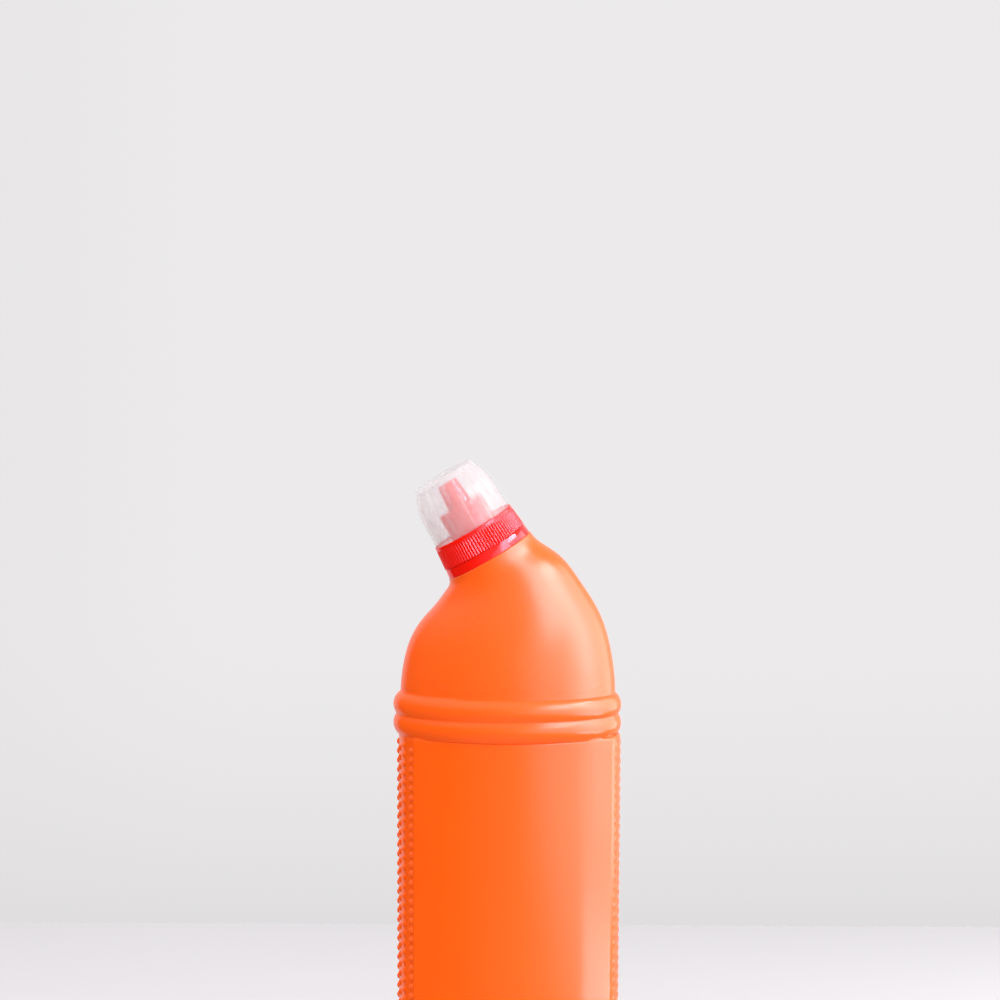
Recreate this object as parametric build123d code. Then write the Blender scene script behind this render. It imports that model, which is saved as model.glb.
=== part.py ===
# A bleach bottle: a blow-moulded oval bottle whose domed shoulder bends over into a slanted neck,
# with two stacked roll ribs, grip bumps down its narrow sides, a red screw closure with a pouring
# nozzle, the tamper band that the closure leaves on the neck, a sealing washer, and a clear overcap.
# Millimetres, +Z up. The origin is the centre of the base's underside, the neck leans to -X and
# the plain front panel faces -Y.
import os
from math import asin, atan2, cos, degrees, pi, radians, sin, sqrt
from build123d import *

# Lower body: two gently curved panels joined by a grip strip down each narrow side
body_half_depth = 27.6
panel_radius = 62.0
left_border = 35.7
right_border = 40.2
left_reach = 41.6
right_reach = 43.5
border_step = 0.25
body_taper = 0.6
base_rounding = 8.0
base_rounding_sweep = 75.0
base_rounding_steps = 4
crown_rounding = 1.6
crown_rounding_sweep = 60.0
crown_rounding_steps = 2
push_up_height = 3.0
push_up_half_width = 27.0
push_up_half_depth = 12.0
push_up_slope = 4.0

# Grip bumps, in columns round the left strip's arc, every second column half a pitch lower
bump_radius = 1.3
bump_top_radius = 0.55
bump_sides = 6
bump_sink = 0.3
bump_pitch = 3.65
bump_first_drop = 11.1
bump_end_clearance = 13.0
bump_height = 0.8
bump_columns = 7
bump_spacing = 5.2

# Roll ribs, which meet in a groove
groove_height = 182.0
rib_height = 8.2
rib_radius = 5.75
rib_half_width = 43.75
rib_half_depth = 30.0
groove_depth = 1.25
rib_steps = 4

# Wall of the bottle and of its neck
wall = 1.1
neck_bore = 11.4

# Shoulder dome: left and right outline seen from the front, as x and height above the groove,
# from the upper rib to the neck's seat
left_outline = [(-41.0, 8.2), (-40.0, 18.7), (-37.3, 28.5), (-32.6, 36.3), (-27.5, 42.1), (-24.2, 46.6)]
right_outline = [(41.4, 8.2), (40.0, 22.6), (35.3, 38.6), (27.4, 51.5), (18.7, 61.8)]
dome_fullness = 1.2
dome_steps = 7

# Neck: a frame whose z axis is the neck's own axis and whose origin is the dome's top
neck_tilt = 30.7
neck_offset = -6.95
neck_rise = 60.65
neck_seat_radius = 18.1
seat_thickness = 1.4
finish_radius = 13.5
finish_height = 10.5
bead_radius = 14.9
bead_base = 2.6
bead_height = 1.4
bead_chamfer = 0.4

# Tamper band
band_gap = 0.3
band_height = 3.6
band_foot_radius = 17.8
band_top_radius = 17.5
band_clearance = 0.4
lip_clearance = 0.7
lip_height = 1.7
lip_slope = 0.4

# Closure
closure_gap = 0.3
closure_foot_radius = 17.45
closure_top_radius = 16.7
closure_height = 9.0
thread_clearance = 1.7
deck_thickness = 1.1
rim_thickness = 0.55
rim_edge = 1.4
rim_chamfer = 0.3
knurl_count = 90
knurl_depth = 0.4

# Nozzle on the closure's deck
nozzle_base_radius = 9.2
nozzle_base_height = 9.5
nozzle_base_chamfer = 0.6
snap_bead_heights = (4.6, 7.5)
snap_bead_size = 0.45
spout_base_radius = 4.9
spout_tip_radius = 4.0
spout_tip_chamfer = 0.3
nozzle_height = 19.4
nozzle_wall = 1.2
nozzle_root = 0.5
orifice_radius = 1.6

# Sealing washer
washer_thickness = 1.0
washer_gap = 0.05
washer_clearance = 0.4
washer_inner_radius = 9.6

# Overcap
overcap_clearance = 0.1
overcap_seat_gap = 0.1
overcap_height = 23.0
overcap_wall = 1.1
overcap_mid_height = 9.6
overcap_mid_radius = 15.8
overcap_neck_height = 17.0
overcap_neck_radius = 14.5
overcap_top_radius = 12.7
overcap_top_rounding = 1.8
plug_radius = 1.3
plug_depth = 1.5

# Levels along the neck's axis
band_base = band_gap
closure_base = band_base + band_height + closure_gap
closure_top = closure_base + closure_height
washer_base = finish_height + washer_gap
washer_top = washer_base + washer_thickness
deck_underside = washer_top + washer_gap
deck_top = deck_underside + deck_thickness
skirt_inner_radius = finish_radius + thread_clearance

# Levels of the lower body
body_top = groove_height - rib_height
straight_top = body_top - crown_rounding / 2

neck_x = cos(radians(neck_tilt))
neck_z = sin(radians(neck_tilt))
neck_frame = Plane(
    origin=(neck_offset, 0, groove_height + neck_rise),
    x_dir=(neck_x, 0, neck_z),
    z_dir=(-neck_z, 0, neck_x),
)

# Room that a cut or a sunk root reaches past the surface it starts from
cut_margin = 1.0


def oval(x, z, half_width, half_depth, tilt=0.0):
    """An ellipse centred at x, z, with its right side raised by the tilt."""
    plane = Plane(
        origin=(x, 0, z),
        x_dir=(cos(radians(tilt)), 0, sin(radians(tilt))),
        z_dir=(-sin(radians(tilt)), 0, cos(radians(tilt))),
    )
    return plane * Ellipse(half_width, half_depth)


def panel_depth(x, inset=0.0):
    """Depth of the front panel's arc at x."""
    radius = panel_radius - inset
    drop = radius - sqrt(radius**2 - x**2)
    return body_half_depth - inset - drop


def strip_radius(border, reach, step, inset=0.0):
    """Radius of the arc that a grip strip makes between its two borders."""
    half_chord = panel_depth(border - inset, inset) - step
    bulge = reach - border + step
    return (half_chord**2 + bulge**2) / (2 * bulge)


def body_section(z, inset, shrink=0.0):
    """Section of the lower body: panels front and back, a grip strip left and right.

    The inset moves every side in by the same amount, and the shrink draws the whole section
    in towards its middle, as a rounded edge does.
    """
    across = 1 - shrink / right_reach
    deep = 1 - shrink / body_half_depth
    left = -(left_border - inset)
    right = right_border - inset
    depth_left = panel_depth(left, inset)
    depth_right = panel_depth(right, inset)
    strip_left = left + border_step
    strip_depth = depth_left - border_step
    edges = []
    for side in (-1, 1):
        start = (left * across, side * depth_left * deep)
        middle = (0, side * (body_half_depth - inset) * deep)
        end = (right * across, side * depth_right * deep)
        edges.append(ThreePointArc(start, middle, end))
        edges.append(Line(start, (strip_left * across, side * strip_depth * deep)))
    for foot, depth, reach in (
        (strip_left, strip_depth, -(left_reach - inset)),
        (right, depth_right, right_reach - inset),
    ):
        start = (foot * across, -depth * deep)
        middle = (reach * across, 0)
        end = (foot * across, depth * deep)
        edges.append(ThreePointArc(start, middle, end))
    return Plane.XY.offset(z) * make_face(edges)


def rounded_end(level, direction, inset, radius, sweep, steps):
    """Sections of a rounded edge, from the straight wall's level up or down."""
    sections = []
    for step in range(steps + 1):
        angle = radians(sweep) * step / steps
        height = level + direction * radius * sin(angle)
        sections.append(body_section(height, inset, radius * (1 - cos(angle))))
    return sections


def lower_body(offset):
    """The body below the ribs, shrunk by an offset, with a rounded base edge."""
    rounding = base_rounding - offset
    straight_foot = offset + rounding * sin(radians(base_rounding_sweep))
    foot_inset = body_taper + offset
    base = rounded_end(
        straight_foot, -1, foot_inset, rounding, base_rounding_sweep, base_rounding_steps
    )
    crown = rounded_end(
        straight_top, 1, offset, crown_rounding, crown_rounding_sweep, crown_rounding_steps
    )
    inside = offset > 0
    straight = loft([base[0], crown[0]], ruled=True)
    return loft(base, ruled=inside) + straight + loft(crown, ruled=inside)


def rib_inset(distance):
    """How far a rib's arc lies inside its crest, at a distance above the groove."""
    crest = sqrt(rib_radius**2 - (rib_radius - groove_depth) ** 2)
    return rib_radius - sqrt(rib_radius**2 - (distance - crest) ** 2)


def rib(side, offset):
    """One roll rib, above the groove for side 1 and below it for side -1."""
    sections = []
    for step in range(rib_steps + 1):
        distance = rib_height * step / rib_steps
        inset = rib_inset(distance) + offset
        height = groove_height + side * distance
        sections.append(oval(0, height, rib_half_width - inset, rib_half_depth - inset))
    return loft(sections, ruled=offset > 0)


def shoulder(offset):
    """The dome: ovals between two guide curves, from the upper rib to the neck's seat."""
    guides = []
    for outline, side in ((left_outline, -1), (right_outline, 1)):
        points = [(x, 0, groove_height + rise) for x, rise in outline]
        end = neck_frame.from_local_coords((side * neck_seat_radius, 0, 0))
        guides.append(Spline(*points, (end.X, 0, end.Z), tangents=((0, 0, 1), neck_frame.z_dir)))
    sections = []
    for step in range(dome_steps):
        share = step / dome_steps
        left = guides[0] @ share
        right = guides[1] @ share
        middle = (left + right) / 2
        across = right - left
        tilt = degrees(atan2(across.Z, across.X))
        fullness = (1 + cos(pi * share**dome_fullness)) / 2
        half_depth = neck_seat_radius + (body_half_depth - neck_seat_radius) * fullness
        half_width = across.length / 2
        sections.append(oval(middle.X, middle.Z, half_width - offset, half_depth - offset, tilt))
    sections.append(neck_frame * Circle(neck_seat_radius - offset))
    return loft(sections, ruled=offset > 0)


def push_up(offset):
    """The hollow under the base, as a solid that is cut away."""
    half_width = push_up_half_width + offset
    half_depth = push_up_half_depth + offset
    low = oval(0, -cut_margin, half_width + push_up_slope, half_depth + push_up_slope)
    high = oval(0, push_up_height + offset, half_width, half_depth)
    return loft([low, high], ruled=True)


def bottle_form(offset):
    """The whole bottle below the neck finish, as one solid, shrunk by an offset."""
    form = lower_body(offset) + rib(-1, offset) + rib(1, offset) + shoulder(offset)
    return form - push_up(offset)


def bump():
    """One grip bump on the ground plane, with a root that sinks into the wall."""
    slope = (bump_radius - bump_top_radius) / bump_height
    root_radius = bump_radius + slope * bump_sink
    root = Plane.XY.offset(-bump_sink) * RegularPolygon(root_radius, bump_sides)
    top = Plane.XY.offset(bump_height) * RegularPolygon(bump_top_radius, bump_sides)
    return loft([root, top], ruled=True)


def grip_bumps():
    """The bumps of the left strip: columns round its arc, rows down the body."""
    radius = strip_radius(left_border, left_reach, border_step)
    turn = 2 * asin(bump_spacing / (2 * radius))
    rows = int((groove_height - bump_first_drop - bump_end_clearance) / bump_pitch)
    shape = bump()
    bumps = []
    for column in range(bump_columns):
        place = column - bump_columns // 2
        angle = place * turn
        normal = (-cos(angle), sin(angle), 0)
        for row in range(rows):
            level = groove_height - bump_first_drop - bump_pitch * (row + 0.5 * (place % 2))
            inset = body_taper * (straight_top - level) / straight_top
            out = radius - inset
            x = radius - left_reach - out * cos(angle)
            plane = Plane(origin=(x, out * sin(angle), level), x_dir=(0, 0, 1), z_dir=normal)
            bumps.append(plane.location * shape)
    return bumps


def on_neck(shape):
    """Moves a shape from the neck's own frame into the part's frame."""
    return neck_frame.location * shape


def turned(points):
    """A solid of revolution about the neck's axis, from radius and level pairs."""
    outline = Polyline(*[(radius, 0, level) for radius, level in points], close=True)
    return revolve(make_face(outline), Axis.Z)


def make_bottle():
    finish = turned(
        [
            (0, -seat_thickness),
            (finish_radius, -seat_thickness),
            (finish_radius, bead_base),
            (bead_radius, bead_base + bead_chamfer),
            (bead_radius, bead_base + bead_height - bead_chamfer),
            (finish_radius, bead_base + bead_height),
            (finish_radius, finish_height),
            (0, finish_height),
        ]
    )
    bore_foot = -seat_thickness - cut_margin
    bore_length = finish_height + cut_margin - bore_foot
    bore = extrude(Plane.XY.offset(bore_foot) * Circle(neck_bore), bore_length)
    seat_disc = Plane.XY.offset(-seat_thickness) * Circle(neck_seat_radius + cut_margin)
    seat = extrude(seat_disc, seat_thickness + cut_margin)
    outer = bottle_form(0) + on_neck(finish) + grip_bumps()
    cavity = bottle_form(wall) - on_neck(seat)
    return outer - cavity - on_neck(bore)


def make_tamper_band():
    inner = bead_radius + band_clearance
    lip = bead_radius - lip_clearance
    top = band_base + band_height
    return on_neck(
        turned(
            [
                (lip, band_base),
                (band_foot_radius, band_base),
                (band_top_radius, top),
                (inner, top),
                (inner, band_base + lip_height + lip_slope),
                (lip, band_base + lip_height),
            ]
        )
    )


def knurl_outline(radius, level):
    """Section of the knurled skirt: a ridge and a valley for each knurl."""
    points = []
    for index in range(2 * knurl_count):
        angle = pi * index / knurl_count
        out = radius - knurl_depth * (index % 2)
        points.append((out * cos(angle), out * sin(angle)))
    return Plane.XY.offset(level) * make_face(Polyline(*points, close=True))


def knurled_ring():
    """Skirt of the closure, which tapers from its foot up to the rim's edge."""
    foot = knurl_outline(closure_foot_radius, closure_base)
    top = knurl_outline(closure_top_radius, closure_top - rim_edge)
    return loft([foot, top], ruled=True)


def make_closure():
    rim_inner = closure_top_radius - rim_thickness
    rim = turned(
        [
            (0, closure_top - rim_edge),
            (closure_top_radius, closure_top - rim_edge),
            (closure_top_radius, closure_top - rim_chamfer),
            (closure_top_radius - rim_chamfer, closure_top),
            (rim_inner, closure_top),
            (rim_inner, deck_top),
            (0, deck_top),
        ]
    )
    base_top = closure_top + nozzle_base_height
    tip = closure_top + nozzle_height
    root = deck_top - nozzle_root
    nozzle_points = [(0, root), (nozzle_base_radius, root)]
    for height in snap_bead_heights:
        level = closure_top + height
        nozzle_points.append((nozzle_base_radius, level - snap_bead_size))
        nozzle_points.append((nozzle_base_radius + snap_bead_size, level))
        nozzle_points.append((nozzle_base_radius, level + snap_bead_size))
    nozzle_points += [
        (nozzle_base_radius, base_top - nozzle_base_chamfer),
        (nozzle_base_radius - nozzle_base_chamfer, base_top),
        (spout_base_radius, base_top),
        (spout_tip_radius, tip - spout_tip_chamfer),
        (spout_tip_radius - spout_tip_chamfer, tip),
        (0, tip),
    ]
    outside = knurled_ring() + rim + turned(nozzle_points)
    chamber_radius = nozzle_base_radius - nozzle_wall
    hollow = turned(
        [
            (0, closure_base - cut_margin),
            (skirt_inner_radius, closure_base - cut_margin),
            (skirt_inner_radius, deck_underside),
            (chamber_radius, deck_underside),
            (chamber_radius, base_top - nozzle_wall - nozzle_base_chamfer),
            (chamber_radius - nozzle_base_chamfer, base_top - nozzle_wall),
            (spout_base_radius - nozzle_wall, base_top - nozzle_wall),
            (spout_tip_radius - nozzle_wall, tip - nozzle_wall),
            (orifice_radius, tip - nozzle_wall),
            (orifice_radius, tip + cut_margin),
            (0, tip + cut_margin),
        ]
    )
    return on_neck(outside - hollow)


def make_sealing_washer():
    outer = skirt_inner_radius - washer_clearance
    return on_neck(
        turned(
            [
                (washer_inner_radius, washer_base),
                (outer, washer_base),
                (outer, washer_top),
                (washer_inner_radius, washer_top),
            ]
        )
    )


def overcap_profile(offset):
    """Outline of the overcap from its axis to its foot, moved in by an offset."""
    foot_radius = closure_top_radius - rim_thickness - overcap_clearance - offset
    foot = deck_top + overcap_seat_gap
    mid = (overcap_mid_radius - offset, 0, closure_top + overcap_mid_height)
    neck = (overcap_neck_radius - offset, 0, closure_top + overcap_neck_height)
    top = closure_top + overcap_height - offset
    top_radius = overcap_top_radius - offset
    shoulder_edge = (top_radius, 0, top - overcap_top_rounding)
    lid_edge = (top_radius - overcap_top_rounding, 0, top)
    skirt = Line((foot_radius, 0, foot), mid)
    if offset:
        side = [Polyline(mid, neck, shoulder_edge, lid_edge)]
    else:
        bulge = overcap_top_rounding * sin(radians(45))
        corner_middle = (lid_edge[0] + bulge, 0, shoulder_edge[2] + bulge)
        corner = ThreePointArc(shoulder_edge, corner_middle, lid_edge)
        side = [ThreePointArc(mid, neck, shoulder_edge), corner]
    lid = Line(lid_edge, (0, 0, top))
    axis = Line((0, 0, top), (0, 0, foot))
    floor = Line((0, 0, foot), (foot_radius, 0, foot))
    return make_face([skirt, *side, lid, axis, floor])


def make_overcap():
    outside = revolve(overcap_profile(0), Axis.Z)
    inside = revolve(overcap_profile(overcap_wall), Axis.Z)
    ceiling = closure_top + overcap_height - overcap_wall
    plug_foot = closure_top + nozzle_height - plug_depth
    plug = turned([(0, plug_foot), (plug_radius, plug_foot), (plug_radius, ceiling), (0, ceiling)])
    return on_neck(outside - inside + plug)


parts = {
    "bottle": make_bottle(),
    "tamper_band": make_tamper_band(),
    "sealing_washer": make_sealing_washer(),
    "closure": make_closure(),
    "overcap": make_overcap(),
}

os.makedirs("parts", exist_ok=True)
for name, shape in parts.items():
    export_step(shape, f"parts/{name}.step")
    print(name, round(shape.volume / 1000, 2), "cm3", shape.bounding_box())
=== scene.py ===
# Looks of the bleach bottle: satin orange bottle, glossy red closure, clear overcap,
# on a pale table in soft studio light. Built in millimetres, handed to Blender in metres.
from math import asin, cos, pi, radians, sin, sqrt

import bmesh
import bpy
import numpy as np
from mathutils import Matrix, Vector


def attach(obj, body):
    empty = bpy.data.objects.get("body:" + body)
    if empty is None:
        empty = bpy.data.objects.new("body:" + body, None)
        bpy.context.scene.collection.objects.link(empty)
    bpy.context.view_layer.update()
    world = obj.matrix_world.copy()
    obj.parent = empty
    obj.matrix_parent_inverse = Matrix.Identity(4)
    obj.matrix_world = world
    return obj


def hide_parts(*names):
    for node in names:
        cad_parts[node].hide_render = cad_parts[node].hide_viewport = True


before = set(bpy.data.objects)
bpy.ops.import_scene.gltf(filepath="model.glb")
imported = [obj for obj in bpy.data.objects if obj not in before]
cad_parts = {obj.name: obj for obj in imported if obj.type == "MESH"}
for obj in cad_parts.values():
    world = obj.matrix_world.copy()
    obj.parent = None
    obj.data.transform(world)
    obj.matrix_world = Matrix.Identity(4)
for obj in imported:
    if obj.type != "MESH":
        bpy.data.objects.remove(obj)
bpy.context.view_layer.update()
mm = 0.001
print("stage: frame loaded")


# A shader socket that takes part in sums and products
class Signal:
    def __init__(self, shader, socket):
        self.shader = shader
        self.socket = socket

    def join(self, operation, first, second=None):
        return self.shader.math(operation, first, second)

    def __add__(self, other):
        return self.join("ADD", self, other)

    def __radd__(self, other):
        return self.join("ADD", other, self)

    def __sub__(self, other):
        return self.join("SUBTRACT", self, other)

    def __rsub__(self, other):
        return self.join("SUBTRACT", other, self)

    def __mul__(self, other):
        return self.join("MULTIPLY", self, other)

    def __rmul__(self, other):
        return self.join("MULTIPLY", other, self)

    def __pow__(self, other):
        return self.join("POWER", self, other)

    def __abs__(self):
        return self.join("ABSOLUTE", self)

    # 0 below the first level, 1 above the second, smooth between
    def ramp(self, low, high):
        settings = {"interpolation_type": "SMOOTHSTEP"}
        inputs = {"Value": self, "From Min": low, "From Max": high}
        return self.shader.node("ShaderNodeMapRange", settings, inputs, "Result")


# The nodes of one material or of the world, all made by one method
class Shader:
    def __init__(self, owner):
        owner.use_nodes = True
        self.owner = owner
        self.tree = owner.node_tree
        self.tree.nodes.clear()

    def node(self, kind, settings, inputs, output=0):
        made = self.tree.nodes.new(kind)
        for key, value in settings.items():
            setattr(made, key, value)
        for key, value in inputs.items():
            if isinstance(value, Signal):
                self.tree.links.new(value.socket, made.inputs[key])
            else:
                made.inputs[key].default_value = value
        return Signal(self, made.outputs[output])

    def math(self, operation, first, second=None):
        inputs = {0: first} if second is None else {0: first, 1: second}
        return self.node("ShaderNodeMath", {"operation": operation}, inputs)

    # Object coordinates in millimetres, times a stretch for each axis. A lean turns them about Y
    # first, so that an axis that leans to -X by that many degrees runs along Z.
    def place(self, stretch=(1, 1, 1), lean=0.0):
        point = self.node("ShaderNodeTexCoord", {}, {}, "Object")
        if lean:
            inputs = {"Vector": point, "Angle": radians(lean)}
            point = self.node("ShaderNodeVectorRotate", {"rotation_type": "Y_AXIS"}, inputs)
        factor = tuple(share / mm for share in stretch)
        return self.node("ShaderNodeVectorMath", {"operation": "MULTIPLY"}, {0: point, 1: factor})

    def axis(self, name):
        return self.node("ShaderNodeSeparateXYZ", {}, {"Vector": self.place()}, name)

    # Noise from about -1 to 1, with features of a size in millimetres
    def noise(self, size, detail, stretch=(1, 1, 1), lean=0.0):
        inputs = {"Vector": self.place(stretch, lean), "Scale": 1 / size, "Detail": detail}
        return (self.node("ShaderNodeTexNoise", {}, inputs, "Fac") - 0.5) * 2

    # A colour between two, through the colour sockets of a Mix node
    def mix(self, share, first, second):
        settings = {"data_type": "RGBA", "clamp_factor": True}
        return self.node("ShaderNodeMix", settings, {0: share, 6: first, 7: second}, 2)

    # A colour between two, where the pattern runs from -1 to 1
    def blotch(self, pattern, colors):
        return self.mix(pattern * 0.5 + 0.5, *colors)

    # A relief whose height is in millimetres
    def bump(self, height):
        inputs = {"Height": height * mm, "Strength": 1.0, "Distance": 1.0}
        return self.node("ShaderNodeBump", {}, inputs)

    def finish(self, kind, inputs, end="ShaderNodeOutputMaterial"):
        surface = self.node(kind, {}, inputs)
        last = self.tree.nodes.new(end)
        self.tree.links.new(surface.socket, last.inputs["Surface"])
        return self.owner


def newMaterial(name):
    return Shader(bpy.data.materials.new(name))


# What holds for every mesh, in millimetres, degrees, shares and numbers of points
meshing = {
    "joinWithin": 0.002,
    "dropShorter": 0.0005,
    "sharpAngle": 38,
    "poleRadius": 1e-4,
    "neckColumns": 180,
    "cornerShare": 0.45,
    "curveSteps": 60,
}


# Joins points that meet, which turns the quads at a pole into triangles
def merge(mesh):
    work = bmesh.new()
    work.from_mesh(mesh)
    bmesh.ops.remove_doubles(work, verts=work.verts, dist=meshing["joinWithin"] * mm)
    bmesh.ops.dissolve_degenerate(work, edges=work.edges, dist=meshing["dropShorter"] * mm)
    work.to_mesh(mesh)
    work.free()


# Vertices and faces of one piece, gathered from grids of points
class Skin:
    def __init__(self):
        self.points = []
        self.faces = []
        self.count = 0

    # A grid whose rows are rings. A ring whose points all meet closes the form at a pole.
    def rings(self, grid, flip=False):
        rows, columns = grid.shape[:2]
        index = np.arange(rows * columns).reshape(rows, columns) + self.count
        after = np.roll(index, -1, axis=1)
        quads = np.stack([index[:-1], after[:-1], after[1:], index[1:]], axis=-1).reshape(-1, 4)
        if flip:
            quads = quads[:, ::-1]
        self.points.append(grid.reshape(-1, 3))
        self.faces.append(quads)
        self.count += rows * columns

    def piece(self, name, material, body, node):
        points = np.concatenate(self.points) * mm
        quads = np.concatenate(self.faces)
        mesh = bpy.data.meshes.new(name)
        mesh.from_pydata(points.tolist(), [], quads.tolist())
        made = bpy.data.objects.new(name, mesh)
        bpy.context.scene.collection.objects.link(made)
        merge(mesh)
        mesh.shade_smooth()
        mesh.set_sharp_from_angle(angle=radians(meshing["sharpAngle"]))
        mesh.materials.append(material)
        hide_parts(node)
        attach(made, body)


# Neck: its axis leans to -X by the tilt, and its levels start where the dome ends
neck = {"tilt": 30.7, "offset": -6.95, "rise": 60.65, "groove": 182.0}
neckSide = np.array([cos(radians(neck["tilt"])), 0, sin(radians(neck["tilt"]))])
neckAxis = np.array([-sin(radians(neck["tilt"])), 0, cos(radians(neck["tilt"]))])
neckFoot = np.array([neck["offset"], 0, neck["groove"] + neck["rise"]])
depthAxis = np.array([0, 1.0, 0])


# Evenly spread directions round a ring
def around(count):
    return np.linspace(0, 2 * pi, count, endpoint=False)


# Points round the neck's axis: foot + level * axis + radius * (cos * side + sin * depth)
def onNeck(radius, level, angle):
    radius, level, angle = np.broadcast_arrays(radius, level, angle)
    out = np.cos(angle)[..., None] * neckSide + np.sin(angle)[..., None] * depthAxis
    return neckFoot + level[..., None] * neckAxis + radius[..., None] * out


# A profile of radius and level pairs whose corners become curves: with t from 0 to 1, (1 - t)^2
# times a point before the corner, 2 t (1 - t) times the corner and t^2 times a point after it
def softened(corners, size, steps=4):
    points = np.array(corners, float)
    result = [points[:1]]
    t = np.linspace(0, 1, steps)[:, None]
    for before, corner, after in zip(points[:-2], points[1:-1], points[2:]):
        back = before - corner
        ahead = after - corner
        most = meshing["cornerShare"]
        reach = min(size, np.linalg.norm(back) * most, np.linalg.norm(ahead) * most)
        start = corner + back / np.linalg.norm(back) * reach
        end = corner + ahead / np.linalg.norm(ahead) * reach
        result.append((1 - t) ** 2 * start + 2 * t * (1 - t) * corner + t**2 * end)
    result.append(points[-1:])
    return np.concatenate(result)


# A profile of radius and level pairs turned about the neck's axis
def turned(profile):
    return onNeck(profile[:, :1], profile[:, 1:], around(meshing["neckColumns"])[None, :])


# A helical ridge as a share of its full height: 1 up to half a width from the helix, straight
# down to 0 over the flank, and faded in above the foot and out below the head
def threadRidge(angle, level, values):
    turns = angle / (2 * pi)
    phase = (level - values["foot"]) / values["lead"] - turns - values["phase"]
    near = np.abs(phase - np.round(phase)) * values["lead"]
    ridge = np.clip((values["halfWidth"] + values["flank"] - near) / values["flank"], 0, 1)
    rise = np.clip((level - values["foot"]) / values["fade"], 0, 1)
    fall = np.clip((values["head"] - level) / values["fade"], 0, 1)
    return ridge * rise * fall


# Bottle, with the part's own sizes
bottle = {
    "halfDepth": 27.6,
    "panelRadius": 62.0,
    "leftBorder": 35.7,
    "rightBorder": 40.2,
    "leftReach": 41.6,
    "rightReach": 43.5,
    "borderStep": 0.25,
    "taper": 0.6,
    "baseRounding": 8.0,
    "baseSweep": 75,
    "insideHeel": 0.7,
    "crownRounding": 1.6,
    "ribHeight": 8.2,
    "ribRadius": 5.75,
    "ribHalfWidth": 43.75,
    "ribHalfDepth": 30.0,
    "grooveDepth": 1.25,
    "grooveSoftness": 0.3,
    "creaseSoftness": 0.7,
    "wall": 1.1,
    "domeFullness": 1.2,
    "seatRadius": 18.1,
    "columns": 240,
    "borderColumns": 5,
    "borderSpread": 0.012,
}
leftOutline = [(-41.0, 8.2), (-40.0, 18.7), (-37.3, 28.5), (-32.6, 36.3), (-27.5, 42.1), (-24.2, 46.6)]
rightOutline = [(41.4, 8.2), (40.0, 22.6), (35.3, 38.6), (27.4, 51.5), (18.7, 61.8)]
pushUp = {"halfWidth": 27.0, "halfDepth": 12.0, "height": 3.0, "slope": 4.0, "flare": 0.4}

# Where the bottle's rows of points lie, in millimetres or shares, or how many there are
bottleRows = {
    "floorShares": (0.0, 0.5, 0.97),
    "pushUpDrops": (0.15, 1.0, 2.0, 2.85),
    "heelCount": 11,
    "sideCount": 14,
    "sideEnd": 0.4,
    "creaseStart": 0.2,
    "creaseEnd": 2.0,
    "creaseStep": 0.14,
    "ribStart": 2.2,
    "ribEnd": 0.6,
    "ribCount": 14,
    "grooveReach": 0.4,
    "grooveCount": 5,
    "upperRibCount": 26,
    "domeCount": 74,
    "insideDomeCount": 22,
    "insideSideCount": 6,
    "insideFloorShares": (1.0, 0.5, 0.0),
}
neckFinish = {
    "radius": 13.5,
    "height": 10.5,
    "bore": 11.4,
    "boreFoot": -1.4,
    "seatInset": 0.35,
    "seatLevel": 0.3,
    "rootFlare": 0.6,
    "rootTop": 0.9,
    "beadRadius": 14.9,
    "beadBase": 2.6,
    "beadHeight": 1.4,
    "beadSlope": 0.4,
    "rounding": 0.3,
    "threadHeight": 1.15,
}

# Both threads: the closure's foot starts higher by the rise, and its turns lie between the neck's
threadValues = {"lead": 4.2, "footRise": 0.8, "rowStep": 0.2, "endGap": 0.1}
neckThread = {
    "foot": 4.6,
    "head": 9.9,
    "lead": threadValues["lead"],
    "phase": 0.0,
    "halfWidth": 0.35,
    "flank": 0.55,
    "fade": 0.8,
}
leftBumps = {"columns": 7, "spacing": 5.2, "height": 0.8, "radius": 1.3, "pitch": 3.65}
rightBumps = {"columns": 5, "spacing": 4.9, "height": 0.22, "radius": 1.3, "pitch": 3.65}
bumpRows = {
    "firstDrop": 11.1,
    "endClearance": 13.0,
    "spokes": 12,
    "rings": (0.0, 0.33, 0.6, 0.82, 0.96, 1.1),
    "fullness": 0.6,
    "sink": 0.06,
}


# Half the depth between the panels at x: their arc's height there
def panelDepth(x, inset):
    radius = bottle["panelRadius"] - inset
    return bottle["halfDepth"] - inset - radius + np.sqrt(radius**2 - x**2)


# Centre and radius of a grip strip's arc, left for side -1 and right for side 1
def stripArc(side, inset):
    border = bottle["rightBorder"] if side > 0 else bottle["leftBorder"]
    reach = bottle["rightReach"] if side > 0 else bottle["leftReach"]
    step = 0 if side > 0 else bottle["borderStep"]
    halfChord = panelDepth(border - inset, inset) - step
    bulge = reach - border + step
    radius = (halfChord**2 + bulge**2) / (2 * bulge)
    return side * (reach - inset - radius), radius


# Distance from the middle to the far side of a disc, in each direction
def discEdge(centreX, centreY, radius, angle):
    along = centreX * np.cos(angle) + centreY * np.sin(angle)
    return along + np.sqrt(along**2 - centreX**2 - centreY**2 + radius**2)


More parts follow.
